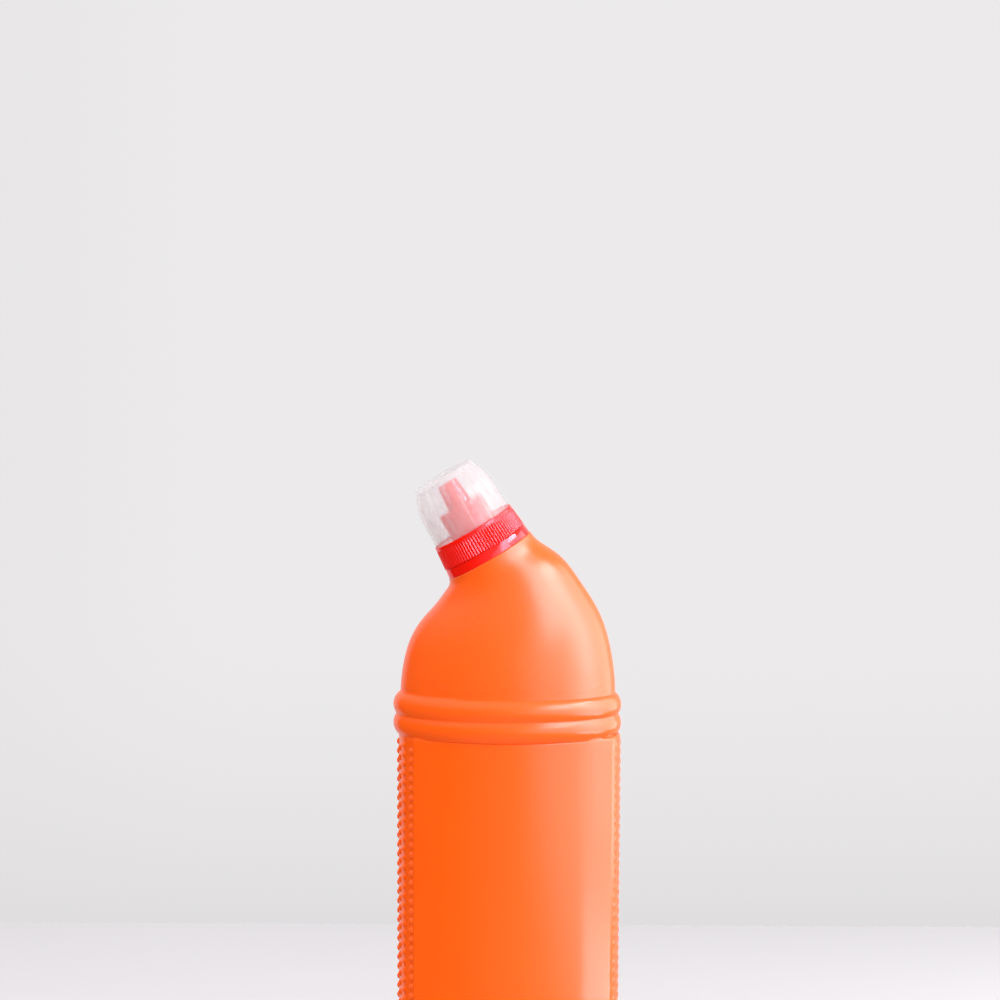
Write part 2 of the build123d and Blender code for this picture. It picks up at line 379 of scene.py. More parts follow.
# The body's section: two panels' arcs, and past their borders the arcs of the two strips
def bodyRing(angle, inset, shrink=0.0):
    radius = bottle["panelRadius"] - inset
    offset = radius - (bottle["halfDepth"] - inset)
    front = discEdge(0, offset, radius, angle)
    back = discEdge(0, -offset, radius, angle)
    reach = np.minimum(front, back)
    x = reach * np.cos(angle)
    for side, border in ((-1, bottle["leftBorder"]), (1, bottle["rightBorder"])):
        centre, stripRadius = stripArc(side, inset)
        strip = discEdge(centre, 0, stripRadius, angle)
        reach = np.where(side * x > border - inset, strip, reach)
    across = 1 - shrink / bottle["rightReach"]
    deep = 1 - shrink / bottle["halfDepth"]
    return reach * np.cos(angle) * across, reach * np.sin(angle) * deep


# An ellipse by direction: half width a and half depth b give a*b / |(b cos, a sin)|
def ovalRing(angle, halfWidth, halfDepth):
    reach = halfWidth * halfDepth / np.hypot(halfDepth * np.cos(angle), halfWidth * np.sin(angle))
    return reach * np.cos(angle), reach * np.sin(angle)


# The ribs' own oval, drawn in by an inset all round
def ribOval(angle, inset):
    return ovalRing(angle, bottle["ribHalfWidth"] - inset, bottle["ribHalfDepth"] - inset)


# A ring of x and y laid level at a height
def flatRow(ring, height):
    x, y = ring
    return np.stack([x, y, np.full_like(x, height)], axis=-1)


# One row of the push-up: its oval times a share, plus some millimetres all round
def pushUpRow(angle, height, share=1.0, grow=0.0):
    halfWidth = share * pushUp["halfWidth"] + grow
    halfDepth = share * pushUp["halfDepth"] + grow
    return flatRow(ovalRing(angle, halfWidth, halfDepth), height)


# The push-up's sides widen in step with how far they have dropped
def pushUpGrow(drop):
    return pushUp["slope"] * drop / (pushUp["height"] + 1)


# Each height's inset from the crest of the ribs' arcs, with a small radius in the groove
def ribInset(distance):
    soft = np.sqrt(distance**2 + bottle["grooveSoftness"] ** 2)
    radius = bottle["ribRadius"]
    crest = sqrt(radius**2 - (radius - bottle["grooveDepth"]) ** 2)
    return radius - np.sqrt(radius**2 - (np.minimum(soft, bottle["ribHeight"]) - crest) ** 2)


bodyTop = neck["groove"] - bottle["ribHeight"]
straightTop = bodyTop - bottle["crownRounding"] / 2
straightFoot = bottle["baseRounding"] * sin(radians(bottle["baseSweep"]))


# The taper: nothing at the top of the straight side, growing evenly to all of it at the foot
def taperInset(height):
    return bottle["taper"] * np.clip((straightTop - height) / (straightTop - straightFoot), 0, 1)


# A rounded edge draws in by radius * (1 - cos(asin(distance past its start / radius)))
def roundedInset(distance, radius):
    return radius * (1 - cos(asin(min(1.0, max(0.0, distance) / radius))))


# The body and the lower rib, whichever is farther out. In the crease between them the reach
# grows by (sqrt(gap^2 + softness^2) - gap) / 2, where the gap is how far the two are apart.
def bodyLevel(angle, height, wall=0.0):
    shrink = roundedInset(straightFoot - height, bottle["baseRounding"])
    shrink += roundedInset(height - straightTop, bottle["crownRounding"])
    ring = bodyRing(angle, taperInset(height) + wall, shrink)
    if height > bodyTop:
        oval = ribOval(angle, ribInset(abs(height - neck["groove"])) + wall)
        gap = np.hypot(*ring) - np.hypot(*oval)
        creased = height < straightTop + bottle["crownRounding"]
        soft = (np.sqrt(gap**2 + bottle["creaseSoftness"] ** 2) - np.abs(gap)) / 2 if creased else 0.0
        grow = 1 + soft / np.hypot(*oval)
        bodyIsOut = (gap > 0) & creased
        ring = tuple(np.where(bodyIsOut, body, rib) * grow for body, rib in zip(ring, oval))
    return flatRow(ring, height)


# A smooth curve through points: cubic pieces by chord length, with given end directions
def throughPoints(points, startWay, endWay, count):
    points = np.array(points, float)
    gaps = np.linalg.norm(np.diff(points, axis=0), axis=1)
    size = len(points)
    matrix = np.eye(size)
    slopes = np.zeros_like(points)
    slopes[0] = startWay
    slopes[-1] = endWay
    for i in range(1, size - 1):
        before, after = gaps[i - 1], gaps[i]
        matrix[i, i - 1 : i + 2] = [after, 2 * (before + after), before]
        rise = (points[i] - points[i - 1]) / before * after
        rise = rise + (points[i + 1] - points[i]) / after * before
        slopes[i] = 3 * rise
    slopes = np.linalg.solve(matrix, slopes)
    fine = []
    t = np.linspace(0, 1, meshing["curveSteps"])[:, None]
    for i, gap in enumerate(gaps):
        start, end = points[i], points[i + 1]
        bend = (2 * t**3 - 3 * t**2 + 1) * start + (-2 * t**3 + 3 * t**2) * end
        bend = bend + gap * (t**3 - 2 * t**2 + t) * slopes[i] + gap * (t**3 - t**2) * slopes[i + 1]
        fine.append(bend)
    fine = np.concatenate(fine)
    length = np.concatenate([[0], np.cumsum(np.linalg.norm(np.diff(fine, axis=0), axis=1))])
    wanted = np.linspace(0, length[-1], count)
    return np.stack([np.interp(wanted, length, fine[:, axis]) for axis in range(2)], axis=-1)


# The dome: tilted ellipses between the left and right guide curves. Their half depth falls from
# the body's to the seat's by (1 + cos(pi * share^fullness)) / 2.
def domeRings(angle, count, wall=0.0):
    guides = []
    for outline, side in ((leftOutline, -1), (rightOutline, 1)):
        end = neckFoot + side * bottle["seatRadius"] * neckSide
        points = [(x, neck["groove"] + rise) for x, rise in outline] + [(end[0], end[2])]
        guides.append(throughPoints(points, (0, 1), (neckAxis[0], neckAxis[2]), count))
    left, right = guides
    middle = (left + right) / 2
    across = right - left
    halfWidth = np.linalg.norm(across, axis=1) / 2
    way = across / (2 * halfWidth[:, None])
    share = np.linspace(0, 1, count)
    fullness = (1 + np.cos(pi * share ** bottle["domeFullness"])) / 2
    halfDepth = bottle["seatRadius"] + (bottle["halfDepth"] - bottle["seatRadius"]) * fullness
    u, v = ovalRing(angle[None, :], halfWidth[:, None] - wall, halfDepth[:, None] - wall)
    x = middle[:, :1] + u * way[:, :1]
    z = middle[:, 1:] + u * way[:, 1:]
    return np.stack([x, v, z], axis=-1)


# Directions of the grid's columns, closer together at the panels' borders
def bottleAngles():
    extra = []
    for side, border in ((-1, bottle["leftBorder"]), (1, bottle["rightBorder"])):
        corner = np.arctan2(panelDepth(border, 0.0), side * border)
        spread = np.linspace(-bottle["borderSpread"], bottle["borderSpread"], bottle["borderColumns"])
        extra += [corner + spread, -corner + spread]
    return np.sort(np.concatenate([around(bottle["columns"]), *extra]) % (2 * pi))


# The outside, from the middle of the push-up over heel, side, ribs and dome to the neck's bore
def outsideRows(angle):
    rows = []
    for share in bottleRows["floorShares"]:
        rows.append(pushUpRow(angle, pushUp["height"], share, meshing["poleRadius"]))
    for drop in bottleRows["pushUpDrops"]:
        rows.append(pushUpRow(angle, pushUp["height"] - drop, grow=pushUpGrow(drop)))
    rows.append(pushUpRow(angle, 0.0, grow=pushUpGrow(pushUp["height"]) + pushUp["flare"]))
    for part in np.linspace(bottle["baseSweep"], 0, bottleRows["heelCount"]):
        rows.append(bodyLevel(angle, straightFoot - bottle["baseRounding"] * sin(radians(part))))
    sideEnd = straightTop - bottleRows["sideEnd"]
    creaseStart = straightTop - bottleRows["creaseStart"]
    creaseEnd = bodyTop + bottleRows["creaseEnd"]
    ribStart = bodyTop + bottleRows["ribStart"]
    ribEnd = neck["groove"] - bottleRows["ribEnd"]
    reach = bottleRows["grooveReach"]
    heights = [
        np.linspace(straightFoot, sideEnd, bottleRows["sideCount"])[1:],
        np.arange(creaseStart, creaseEnd, bottleRows["creaseStep"]),
        np.linspace(ribStart, ribEnd, bottleRows["ribCount"]),
        neck["groove"] + np.linspace(-reach, reach, bottleRows["grooveCount"]),
    ]
    rows += [bodyLevel(angle, height) for height in np.concatenate(heights)]
    for rise in np.linspace(bottleRows["ribEnd"], bottle["ribHeight"], bottleRows["upperRibCount"]):
        rows.append(flatRow(ribOval(angle, ribInset(rise)), neck["groove"] + rise))
    rows += list(domeRings(angle, bottleRows["domeCount"])[1:])
    return rows + finishRows(angle)


# Seat, bead, thread, mouth and bore, about the neck's own axis. The thread's rows stand out by
# its height times the ridge's share.
def finishRows(angle):
    radius, head, bore = neckFinish["radius"], neckFinish["height"], neckFinish["bore"]
    beadRadius, beadBase = neckFinish["beadRadius"], neckFinish["beadBase"]
    beadTop = beadBase + neckFinish["beadHeight"]
    below = [
        (bottle["seatRadius"] - neckFinish["seatInset"], neckFinish["seatLevel"]),
        (radius + neckFinish["rootFlare"], neckFinish["seatLevel"]),
        (radius, neckFinish["rootTop"]),
        (radius, beadBase),
        (beadRadius, beadBase + neckFinish["beadSlope"]),
        (beadRadius, beadTop - neckFinish["beadSlope"]),
        (radius, beadTop),
        (radius, neckThread["foot"] - threadValues["endGap"]),
    ]
    mouth = [
        (radius, neckThread["head"] + threadValues["endGap"]),
        (radius, head),
        (bore, head),
        (bore, neckFinish["boreFoot"]),
    ]
    rows = [onNeck(r, u, angle) for r, u in softened(below, neckFinish["rounding"])]
    for u in np.arange(neckThread["foot"], neckThread["head"], threadValues["rowStep"]):
        ridge = neckFinish["threadHeight"] * threadRidge(angle, u, neckThread)
        rows.append(onNeck(radius + ridge, u, angle))
    return rows + [onNeck(r, u, angle) for r, u in softened(mouth, neckFinish["rounding"])]


# The inside of the wall, from under the neck down to the middle of the base
def insideRows(angle):
    wall = bottle["wall"]
    rows = list(domeRings(angle, bottleRows["insideDomeCount"], wall)[1:-1][::-1])
    rows.append(flatRow(ribOval(angle, bottle["grooveDepth"] + wall), neck["groove"]))
    for height in np.linspace(bodyTop, straightFoot + wall, bottleRows["insideSideCount"]):
        rows.append(bodyLevel(angle, height, wall))
    heel = bottle["baseRounding"] * bottle["insideHeel"]
    rows.append(flatRow(bodyRing(angle, bottle["taper"] + wall, heel), wall))
    rows.append(pushUpRow(angle, wall, grow=pushUp["slope"]))
    for share in bottleRows["insideFloorShares"]:
        rows.append(pushUpRow(angle, pushUp["height"] + wall, share, meshing["poleRadius"]))
    return rows


# Round bumps on a strip: rings of each one lie on the strip's arc and rise by the bump's height
# times cos(distance from its middle)^fullness. Every second column is half a pitch lower.
def bumpRings(side, values):
    centre, radius = stripArc(side, 0.0)
    turn = 2 * asin(values["spacing"] / (2 * radius))
    drop = bumpRows["firstDrop"] + bumpRows["endClearance"]
    rows = int((neck["groove"] - drop) / values["pitch"])
    place, row = np.meshgrid(np.arange(values["columns"]), np.arange(rows), indexing="ij")
    place = place.ravel() - values["columns"] // 2
    middle = neck["groove"] - bumpRows["firstDrop"] - values["pitch"] * (row.ravel() + 0.5 * (place % 2))
    ring = np.array(bumpRows["rings"])
    rise = values["height"] * np.cos(np.minimum(ring, 1) * pi / 2) ** bumpRows["fullness"]
    rise[-1] = -bumpRows["sink"]
    spoke = around(bumpRows["spokes"])
    aside = ring[:, None] * values["radius"] * np.cos(spoke)
    up = ring[:, None] * values["radius"] * np.sin(spoke)
    for count in range(len(place)):
        z = middle[count] + up
        angle = place[count] * turn + aside / radius
        out = radius + rise[:, None]
        x = centre + side * (out * np.cos(angle) - taperInset(z))
        yield np.stack([x, out * np.sin(angle), z], axis=-1)


def makeBottle(material):
    angle = bottleAngles()
    skin = Skin()
    skin.rings(np.stack(outsideRows(angle) + insideRows(angle)))
    for side, values in ((-1, leftBumps), (1, rightBumps)):
        for grid in bumpRings(side, values):
            skin.rings(grid, flip=side < 0)
    skin.piece("bottleSkin", material, "bottle_body", "bottle")


# Tamper band: a turned ring that tapers, with a lip under the neck's bead
band = {
    "base": 0.3,
    "height": 3.75,
    "footRadius": 17.8,
    "topRadius": 17.35,
    "inner": 15.3,
    "lip": 14.2,
    "lipHeight": 1.7,
    "lipSlope": 0.4,
    "lipMiddle": 0.8,
    "rounding": 0.25,
}


def makeBand(material):
    base = band["base"]
    top = base + band["height"]
    corners = [
        (band["lip"], base + band["lipMiddle"]),
        (band["lip"], base),
        (band["footRadius"], base),
        (band["topRadius"], top),
        (band["inner"], top),
        (band["inner"], base + band["lipHeight"] + band["lipSlope"]),
        (band["lip"], base + band["lipHeight"]),
        (band["lip"], base + band["lipMiddle"]),
    ]
    skin = Skin()
    skin.rings(turned(softened(corners, band["rounding"])))
    skin.piece("tamperBandSkin", material, "bottle_body", "tamper_band")


# Closure: knurled skirt, rim, deck, stepped nozzle and the hollow inside
cap = {
    "base": 4.2,
    "top": 13.2,
    "footRadius": 17.45,
    "radius": 16.7,
    "rimInner": 16.15,
    "rimEdge": 1.4,
    "deck": 12.7,
    "deckUnder": 11.6,
    "skirtInner": 15.2,
    "nozzleRadius": 9.2,
    "nozzleTop": 9.5,
    "beads": (4.6, 7.5),
    "beadSize": 0.45,
    "spoutFoot": 4.9,
    "spoutTip": 4.0,
    "tip": 19.4,
    "wall": 1.2,
    "orifice": 1.6,
    "threadHeight": 1.1,
    "rounding": 0.35,
    "roundingSteps": 5,
}
capThread = {
    "foot": 5.4,
    "head": 10.1,
    "lead": threadValues["lead"],
    "phase": 0.5 - threadValues["footRise"] / threadValues["lead"],
    "halfWidth": 0.3,
    "flank": 0.5,
    "fade": 0.8,
}
knurls = {
    "count": 90,
    "depth": 0.34,
    "grooveShare": 0.42,
    "points": 10,
    "rowsUp": (0.0, 0.1, 0.25, 0.5, 1.2, 2.5, 4.0, 5.6),
    "rowsDown": (1.4, 1.0, 0.7, 0.45, 0.25, 0.1, 0.0),
    "footFade": 0.25,
    "topFade": 0.9,
}


# Knurls: the radius drops by depth * (1 + cos(pi * distance / groove)) / 2, faded at both ends
def knurlGrid():
    angle = around(knurls["count"] * knurls["points"])
    base, top = cap["base"], cap["top"] - cap["rimEdge"]
    heights = np.concatenate([base + np.array(knurls["rowsUp"]), top - np.array(knurls["rowsDown"])])
    fade = np.minimum((heights - base) / knurls["footFade"], (top - heights) / knurls["topFade"])
    fade = np.sqrt(np.clip(fade, 0, 1))
    phase = np.abs((knurls["count"] * angle / (2 * pi) + 0.5) % 1 - 0.5)
    valley = (1 + np.cos(pi * np.minimum(phase / knurls["grooveShare"], 1))) / 2
    taper = (top - heights) / (top - base)
    radius = cap["radius"] + (cap["footRadius"] - cap["radius"]) * taper
    radius = radius[:, None] - knurls["depth"] * fade[:, None] * valley[None, :]
    return onNeck(radius, heights[:, None], angle[None, :])


# Radius and level pairs from the skirt's top over rim, deck and nozzle, and back down inside
def closureProfile():
    top, nozzle, wall = cap["top"], cap["nozzleRadius"], cap["wall"]
    corners = [
        (cap["radius"], top - cap["rimEdge"]),
        (cap["radius"], top),
        (cap["rimInner"], top),
        (cap["rimInner"], cap["deck"]),
        (nozzle, cap["deck"]),
    ]
    for height in cap["beads"]:
        for out, step in ((0, -cap["beadSize"]), (cap["beadSize"], 0), (0, cap["beadSize"])):
            corners.append((nozzle + out, top + height + step))
    shoulder = top + cap["nozzleTop"]
    tip = top + cap["tip"]
    corners += [
        (nozzle, shoulder),
        (cap["spoutFoot"], shoulder),
        (cap["spoutTip"], tip),
        (cap["orifice"], tip),
        (cap["orifice"], tip - wall),
        (cap["spoutTip"] - wall, tip - wall),
        (cap["spoutFoot"] - wall, shoulder - wall),
        (nozzle - wall, shoulder - wall),
        (nozzle - wall, cap["deckUnder"]),
        (cap["skirtInner"], cap["deckUnder"]),
        (cap["skirtInner"], capThread["head"] + threadValues["endGap"]),
    ]
    return softened(corners, cap["rounding"], cap["roundingSteps"])


# The inner thread stands in from the skirt by its height times the ridge's share
def makeClosure(material):
    skin = Skin()
    skin.rings(knurlGrid())
    skin.rings(turned(closureProfile()))
    angle = around(meshing["neckColumns"])[None, :]
    heights = np.arange(capThread["head"], capThread["foot"], -threadValues["rowStep"])[:, None]
    inner = cap["skirtInner"] - cap["threadHeight"] * threadRidge(angle, heights, capThread)
    skin.rings(onNeck(inner, heights, angle))
    foot = [
        (cap["skirtInner"], capThread["foot"] + threadValues["endGap"]),
        (cap["skirtInner"], cap["base"]),
        (cap["footRadius"], cap["base"]),
    ]
    skin.rings(turned(np.array(foot)))
    skin.piece("closureSkin", material, "closure_body", "closure")


# Overcap: a clear double wall with a plug that shuts the nozzle. The skirt's and waist's levels
# and the plug's foot are above the closure's top.
lid = {
    "foot": 12.8,
    "footRadius": 16.05,
    "skirtRadius": 15.8,
    "skirtLevel": 9.6,
    "waistRadius": 14.5,
    "waistLevel": 17.0,
    "topRadius": 12.7,
    "rounding": 1.8,
    "height": 23.0,
    "wall": 1.1,
    "topMiddle": 6.0,
    "plugRadius": 1.3,
    "plugFoot": 17.9,
    "plugRounding": 0.3,
    "plugBase": 1.0,
    "sidePoints": 14,
    "cornerPoints": 8,
}


# A circle's arc through three points of radius and level, as evenly spread points
def arcThrough(start, middle, end, count):
    a, b, c = (complex(*point) for point in (start, middle, end))
    w = (c - a) / (b - a)
    centre = a - (a - b) * (w - abs(w) ** 2) / (2j * w.imag)
    first = np.angle(a - centre)
    sweep = np.angle((c - centre) / (a - centre))
    angles = first + sweep * np.linspace(0, 1, count)
    points = centre + abs(a - centre) * np.exp(1j * angles)
    return np.stack([points.real, points.imag], axis=-1)


# The overcap's side: straight up from the foot, one arc over skirt and waist, a round corner
def lidSide(wall):
    base = cap["top"]
    edge = (lid["topRadius"] - wall, base + lid["height"] - wall - lid["rounding"])
    skirt = (lid["skirtRadius"] - wall, base + lid["skirtLevel"])
    waist = (lid["waistRadius"] - wall, base + lid["waistLevel"])
    side = arcThrough(skirt, waist, edge, lid["sidePoints"])
    turn = np.linspace(0, pi / 2, lid["cornerPoints"])[1:]
    corner = np.stack([np.cos(turn), np.sin(turn)], axis=-1) * lid["rounding"]
    corner = corner + np.array([edge[0] - lid["rounding"], edge[1]])
    return np.concatenate([[(lid["footRadius"] - wall, lid["foot"])], side, corner])


def makeOvercap(material):
    outer = lidSide(0.0)
    inner = lidSide(lid["wall"])[::-1]
    top = cap["top"] + lid["height"]
    ceiling = top - lid["wall"]
    plugFoot = cap["top"] + lid["plugFoot"]
    pole = meshing["poleRadius"]
    plug = [
        (pole, plugFoot),
        (lid["plugRadius"], plugFoot),
        (lid["plugRadius"], ceiling),
        (lid["plugRadius"] + lid["plugBase"], ceiling),
    ]
    skin = Skin()
    skin.rings(turned(np.concatenate([outer, [(lid["topMiddle"], top), (pole, top)]])))
    skin.rings(turned(np.concatenate([softened(plug, lid["plugRounding"]), inner])))
    skin.rings(turned(np.array([inner[-1], outer[0]])))
    skin.piece("overcapSkin", material, "overcap_body", "overcap")


# Satin orange polyethylene: faint die lines down the wall, a parting line, soft unevenness.
# Patterns are given by size, detail and stretch, and relief by its height, in millimetres.
orangeLook = {
    "colors": ((0.93, 0.096, 0.0002, 1), (0.95, 0.106, 0.0004, 1)),
    "scuffed": (0.97, 0.3, 0.12, 1),
    "scuffShare": 0.35,
    "mottle": (26.0, 3.0),
    "dieLines": (1.6, 2.0, (1, 1, 0.02)),
    "grain": (0.55, 2.0),
    "dents": (30.0, 1.0, (1, 1, 0.5)),
    "scuffs": (2.2, 4.0, (1, 1, 0.25)),
    "scuffRange": (0.35, 0.75),
    "scuffLevels": (6.0, 26.0),
    "seamWidths": (0.05, 0.28),
    "relief": {"dieLines": 0.006, "grain": 0.0022, "seam": 0.05, "dents": 0.02},
    "roughness": {"body": 0.2, "dome": 0.08, "mottle": 0.02, "scuffs": 0.15},
    "domeLevels": (165.0, 200.0),
}


def bottlePlastic():
    look = orangeLook
    shader = newMaterial("bottlePlastic")
    y, z = shader.axis("Y"), shader.axis("Z")
    mottle = shader.noise(*look["mottle"])
    seam = 1 - abs(y).ramp(*look["seamWidths"])
    scuffs = shader.noise(*look["scuffs"]).ramp(*look["scuffRange"]) * (1 - z.ramp(*look["scuffLevels"]))
    color = shader.blotch(mottle, look["colors"])
    color = shader.mix(scuffs * look["scuffShare"], color, look["scuffed"])
    relief = look["relief"]
    height = shader.noise(*look["dieLines"]) * relief["dieLines"]
    height = height + shader.noise(*look["grain"]) * relief["grain"]
    height = height + seam * relief["seam"] + shader.noise(*look["dents"]) * relief["dents"]
    rough = look["roughness"]
    roughness = rough["body"] + rough["dome"] * z.ramp(*look["domeLevels"])
    inputs = {
        "Base Color": color,
        "Roughness": roughness + rough["mottle"] * mottle + scuffs * rough["scuffs"],
        "IOR": 1.54,
        "Specular IOR Level": 0.35,
        "Specular Tint": (1.0, 0.88, 1.0, 1),
        "Subsurface Weight": 0.12,
        "Subsurface Radius": (1.0, 0.25, 0.08),
        "Subsurface Scale": 2.5 * mm,
        "Normal": shader.bump(height),
    }
    return shader.finish("ShaderNodeBsdfPrincipled", inputs)


# Glossy red polypropylene with faint flow marks and fine grain
redLook = {
    "colors": ((0.83, 0.007, 0.001, 1), (0.86, 0.01, 0.002, 1)),
    "flow": (7.0, 3.0),
    "grain": (0.4, 2.0),
    "relief": {"grain": 0.0015, "flow": 0.006},
    "roughness": {"all": 0.1, "flow": 0.02},
}


def closurePlastic():
    look, relief, rough = redLook, redLook["relief"], redLook["roughness"]
    shader = newMaterial("closurePlastic")
    flow = shader.noise(*look["flow"])
    grain = shader.noise(*look["grain"])
    inputs = {
        "Base Color": shader.blotch(flow, look["colors"]),
        "Roughness": rough["all"] + rough["flow"] * flow,
        "IOR": 1.5,
        "Specular Tint": (1.0, 0.7, 0.95, 1),
        "Subsurface Weight": 0.15,
        "Subsurface Radius": (1.0, 0.12, 0.12),
        "Subsurface Scale": 1.5 * mm,
        "Normal": shader.bump(grain * relief["grain"] + flow * relief["flow"]),
    }
    return shader.finish("ShaderNodeBsdfPrincipled", inputs)


# Clear polypropylene, a little hazy, with flow marks and streaks along the neck's axis. It is
# less clear in the streaks, in a few narrow lines and where it is seen edge on.
clearLook = {
    "colors": ((0.64, 0.62, 0.64, 1), (0.68, 0.66, 0.68, 1)),
    "flow": (5.0, 3.0),
    "streaks": (2.0, 1.0, (1, 1, 0.02), neck["tilt"]),
    "lines": (1.8, 0.0, (1, 1, 0.015), neck["tilt"]),
    "lineRange": (0.3, 0.5),
    "edgeBlend": 0.3,
    "relief": 0.01,
    "roughness": {"all": 0.14, "flow": 0.03},
    "haze": {"all": 0.22, "flow": 0.02, "streaks": 0.04, "lines": 0.13, "edge": 0.06},
}


def overcapPlastic():
    look, rough, haze = clearLook, clearLook["roughness"], clearLook["haze"]
    shader = newMaterial("overcapPlastic")
    flow = shader.noise(*look["flow"])
    streaks = shader.noise(*look["streaks"])
    lines = shader.noise(*look["lines"]).ramp(*look["lineRange"])
    edge = shader.node("ShaderNodeLayerWeight", {}, {"Blend": look["edgeBlend"]}, "Facing")
    alpha = haze["all"] + haze["flow"] * flow + haze["streaks"] * streaks
    inputs = {
        "Base Color": shader.blotch(flow, look["colors"]),
        "Roughness": rough["all"] + rough["flow"] * flow,
        "IOR": 1.5,
        "Specular IOR Level": 0.2,
        "Subsurface Weight": 0.85,
        "Subsurface Radius": (1.0, 1.0, 1.0),
        "Subsurface Scale": 4 * mm,
        "Alpha": alpha + haze["lines"] * lines + haze["edge"] * edge**3,
        "Normal": shader.bump(flow * look["relief"]),
    }
    return shader.finish("ShaderNodeBsdfPrincipled", inputs)


# Foamed sealing washer: fine open cells
foamLook = {
    "colors": ((0.78, 0.78, 0.75, 1), (0.88, 0.88, 0.86, 1)),
    "cells": (0.35, 4.0),
    "relief": 0.03,
    "roughness": {"all": 0.8, "cells": 0.1},
}


def washerFoam():
    look, rough = foamLook, foamLook["roughness"]
    shader = newMaterial("washerFoam")
    cells = shader.noise(*look["cells"])
    inputs = {
        "Base Color": shader.blotch(cells, look["colors"]),
        "Roughness": rough["all"] + rough["cells"] * cells,
        "Normal": shader.bump(cells * look["relief"]),
    }
    return shader.finish("ShaderNodeBsdfPrincipled", inputs)


# Table and wall: plain and pale. The table's colour is darker to the right, less so far back:
# painted shade that evens out the window lamps' light on it. The wall is a glowing backdrop
# with painted shade: darkest where it meets the table and at its left.
tableValues = {
    "left": -460.0,
    "right": 3000.0,
    "front": -260.0,
    "back": 566.0,
    "bright": (0.52, 0.51, 0.522, 1),
    "dim": (0.415, 0.407, 0.416, 1),
    "shadeAcross": (-200.0, 200.0),
    "shadeBack": (0.0, 450.0),
    "lessBack": 0.7,
    "mottle": (60.0, 2.0),
    "mottleShare": 0.03,
}
wallValues = {
    "left": -750.0,
    "right": 3000.0,
    "behind": 620.0,
    "foot": -400.0,
    "top": 2500.0,
    "tint": (1.0, 0.982, 0.992),
    "light": 0.838,
    "shade": 0.745,
    "riseLevels": (-8.0, 150.0),
    "riseCurve": 0.45,
    "leftLevels": (-300.0, -120.0),
    "leftShare": 0.4,
}


def plane(name, corners, material):
    mesh = bpy.data.meshes.new(name)
    points = [tuple(mm * value for value in corner) for corner in corners]
    mesh.from_pydata(points, [], [(0, 1, 2, 3)])
    mesh.materials.append(material)
    made = bpy.data.objects.new(name, mesh)
    bpy.context.scene.collection.objects.link(made)
    made.visible_glossy = name != "table"  # reflections see the room where the table would be


# Clear from behind, so that the bottle can be looked at from every side
def oneSided(shader, surface):
    behind = shader.node("ShaderNodeNewGeometry", {}, {}, "Backfacing")
    clear = shader.node("ShaderNodeBsdfTransparent", {}, {})
    return shader.finish("ShaderNodeMixShader", {0: behind, 1: surface, 2: clear})


def makeTable():
    values = tableValues
    shader = newMaterial("tableTop")
    x, y = shader.axis("X"), shader.axis("Y")
    # Painted shade: the colour darkens to the right, where the window lamps light the table most, less so
    # far back
    paintedShade = x.ramp(*values["shadeAcross"]) * (1 - values["lessBack"] * y.ramp(*values["shadeBack"]))
    share = paintedShade + shader.noise(*values["mottle"]) * values["mottleShare"]
    color = shader.mix(share, values["bright"], values["dim"])
    surface = oneSided(shader, shader.node("ShaderNodeBsdfDiffuse", {}, {"Color": color}))
    left, right, front, back = (values[key] for key in ("left", "right", "front", "back"))
    corners = [(left, front, 0), (right, front, 0), (right, back, 0), (left, back, 0)]
    plane("table", corners, surface)


def makeWall():
    values = wallValues
    shader = newMaterial("wallGlowAndPaintedShade")
    x, z = shader.axis("X"), shader.axis("Z")
    # Painted shade: the wall's glow is darker near the table and toward its left
    fromLeft = 1 - values["leftShare"] + values["leftShare"] * x.ramp(*values["leftLevels"])
    share = z.ramp(*values["riseLevels"]) ** values["riseCurve"] * fromLeft
    ends = [tuple(values[key] * part for part in values["tint"]) + (1,) for key in ("shade", "light")]
    glow = shader.node("ShaderNodeEmission", {}, {"Color": shader.mix(share, *ends)})
    surface = oneSided(shader, glow)
    left, right, y, foot, top = (values[key] for key in ("left", "right", "behind", "foot", "top"))
    corners = [(left, y, foot), (right, y, foot), (right, y, top), (left, y, top)]
    plane("wall", corners, surface)


# Lights: a pale room that is brighter overhead and, in reflections, dim to the left. At the right
# a window with a dimmer curtain before it and side light behind it. The glints show only in
# reflections: low and high in the window, one high and one low before it and a dim one farther
# on. Lamps reach over y and z, in millimetres.
room = {
    "color": (1.0, 0.985, 0.99, 1),
    "low": 0.66,
    "high": 2.2,
    "rise": (0.15, 0.8),
    "dim": 0.03,
    "front": 0.7,
    "overhead": 0.9,
    "fromLeft": (-0.75, 0.15),
}
lamps = {
    "window": {"radiance": 2.8, "y": (-325.0, 100.0), "z": (10.0, 620.0)},
    "curtain": {"radiance": 2.8, "y": (-1400.0, -325.0), "z": (-60.0, 900.0)},
    "side": {"radiance": 3.4, "y": (100.0, 430.0), "z": (10.0, 620.0)},
    "lowGlint": {"radiance": 10.5, "y": (-325.0, 60.0), "z": (-120.0, 160.0)},
    "highGlint": {"radiance": 21.0, "y": (-325.0, 60.0), "z": (160.0, 780.0)},
    "skyGlint": {"radiance": 9.0, "y": (-900.0, -325.0), "z": (460.0, 1100.0)},
    "nearGlint": {"radiance": 1.4, "y": (-700.0, -325.0), "z": (-60.0, 900.0)},
    "farGlint": {"radiance": 1.7, "y": (-4000.0, -1400.0), "z": (-150.0, 900.0)},
}
lampAside = 520.0


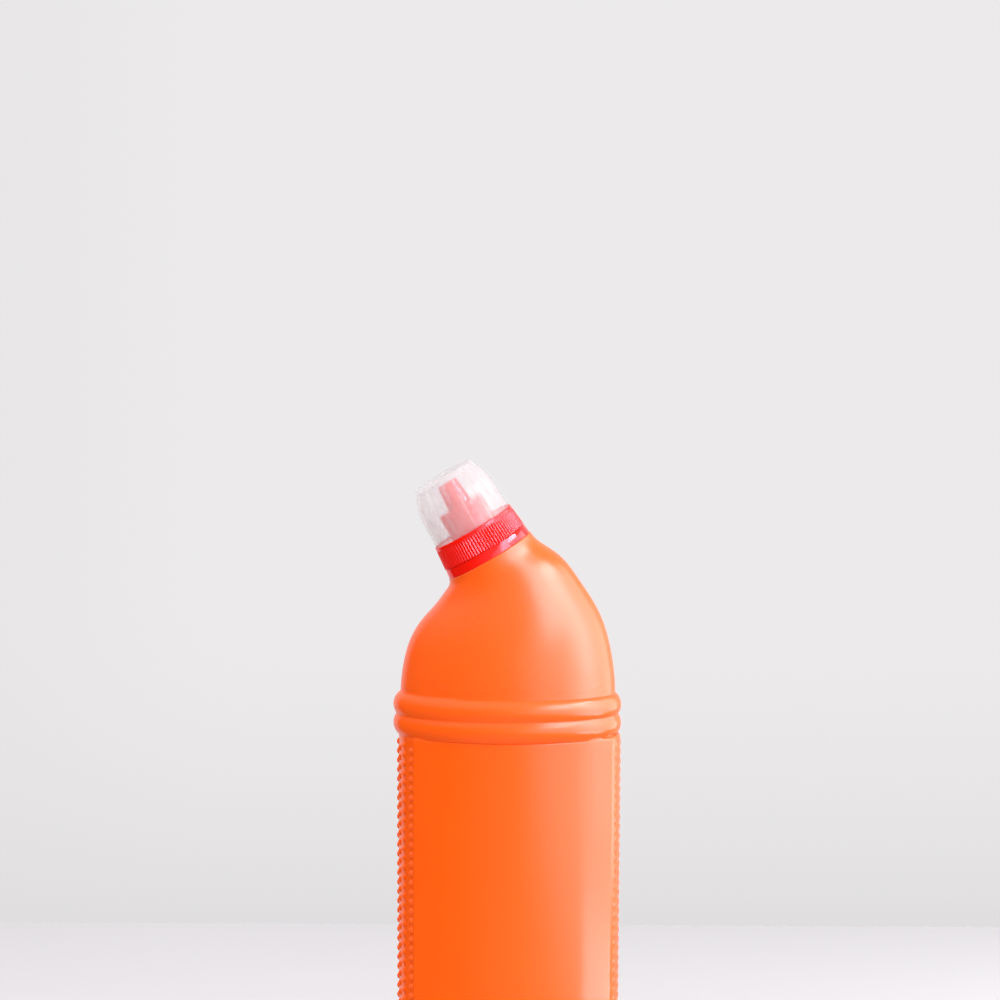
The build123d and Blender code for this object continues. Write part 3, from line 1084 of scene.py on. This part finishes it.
def makeRoom():
    shader = Shader(bpy.data.worlds.new("room"))
    glossy = shader.node("ShaderNodeLightPath", {}, {}, "Is Glossy Ray")
    passed = shader.node("ShaderNodeLightPath", {}, {}, "Is Transmission Ray")
    mirrored = glossy * (1 - passed)
    way = shader.node("ShaderNodeTexCoord", {}, {}, "Generated")
    height = shader.node("ShaderNodeSeparateXYZ", {}, {"Vector": way}, "Z")
    aside = shader.node("ShaderNodeSeparateXYZ", {}, {"Vector": way}, "X")
    rise = height.ramp(*room["rise"])
    plain = room["low"] + (room["high"] - room["low"]) * rise
    seen = room["dim"] + room["front"] * aside.ramp(*room["fromLeft"])
    seen = seen + (room["overhead"] - seen) * rise
    inputs = {"Color": room["color"], "Strength": plain * (1 - mirrored) + seen * mirrored}
    bpy.context.scene.world = shader.finish("ShaderNodeBackground", inputs, "ShaderNodeOutputWorld")


# An area lamp's energy is its radiance times pi times its area
def makeLamps():
    for name, values in lamps.items():
        data = bpy.data.lights.new(name, "AREA")
        data.shape = "RECTANGLE"
        nearY, farY = values["y"]
        lowZ, highZ = values["z"]
        data.size = (highZ - lowZ) * mm
        data.size_y = (farY - nearY) * mm
        data.energy = values["radiance"] * pi * data.size * data.size_y
        lamp = bpy.data.objects.new(name, data)
        lamp.location = Vector((lampAside, (nearY + farY) / 2, (lowZ + highZ) / 2)) * mm
        lamp.rotation_euler = (0, radians(90), 0)  # facing -X
        lamp.visible_diffuse = "Glint" not in name
        bpy.context.scene.collection.objects.link(lamp)


# Camera: a long lens a little above the bottle, looking down. It aims at the ribs' groove, which
# is at the pixel given in a picture 1000 pixels wide.
view = {
    "focal": 208.8,
    "sensor": 36.0,
    "distance": 2228.0,
    "pitch": 5.8,
    "roll": 0.25,
    "aimPixel": (508.2, 712.8),
    "middlePixel": 500,
    "pixelSize": 0.384,
    "clip": (0.05, 20.0),
}


def makeCamera():
    pitch = radians(view["pitch"])
    forward = Vector((0, cos(pitch), -sin(pitch)))
    right = Vector((1, 0, 0))
    up = right.cross(forward)
    aside = (view["aimPixel"][0] - view["middlePixel"]) * view["pixelSize"]
    below = (view["aimPixel"][1] - view["middlePixel"]) * view["pixelSize"]
    aim = Vector((0, 0, neck["groove"]))
    place = aim - forward * view["distance"] - right * aside + up * below
    data = bpy.data.cameras.new("camera")
    data.lens = view["focal"]
    data.sensor_width = view["sensor"]
    data.clip_start, data.clip_end = view["clip"]
    made = bpy.data.objects.new("camera", data)
    turn = Matrix((right, up, -forward)).transposed().to_4x4()
    roll = Matrix.Rotation(radians(view["roll"]), 4, "Z")
    made.matrix_world = Matrix.Translation(place * mm) @ turn @ roll
    bpy.context.scene.collection.objects.link(made)
    bpy.context.scene.camera = made


orange = bottlePlastic()
red = closurePlastic()
print("stage: materials made")
makeBottle(orange)
makeBand(red)
makeClosure(red)
makeOvercap(overcapPlastic())
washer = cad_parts["sealing_washer"]
washer.data.materials.clear()
washer.data.materials.append(washerFoam())
print("stage: pieces made")
makeTable()
makeWall()
makeRoom()
makeLamps()
makeCamera()
bpy.context.scene.view_settings.view_transform = "Standard"
print("stage: table, lights and camera set")
